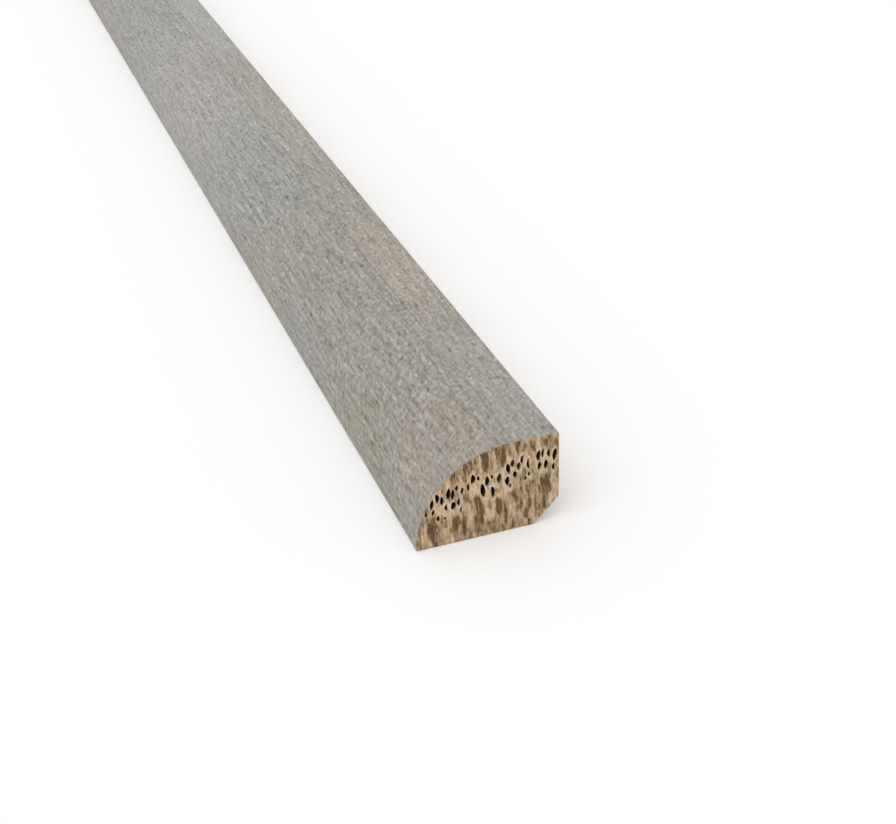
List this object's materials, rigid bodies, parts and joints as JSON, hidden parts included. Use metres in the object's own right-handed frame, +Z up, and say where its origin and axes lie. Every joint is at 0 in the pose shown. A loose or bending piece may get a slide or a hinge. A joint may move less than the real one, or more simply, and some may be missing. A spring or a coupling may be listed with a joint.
{
  "type": "shoe moulding",
  "caption": "Grey-stained hardwood shoe moulding with a quarter-round show face, a short flat, square back faces and a relieved hidden corner, for covering the joint of floor and baseboard.",
  "frame": {"origin": "centre of the footprint, on the floor that the length lies on", "axes": "+X along the length, +Y from the toe of the round to the floor side, +Z up from the baseboard face that it lies on"},
  "size_m": [1.9812, 0.019, 0.0127],
  "materials": {
    "stained_oak": "matte"
  },
  "bodies": {
    "root": {"shoe_moulding": "stained_oak"}
  },
  "joints": []
}
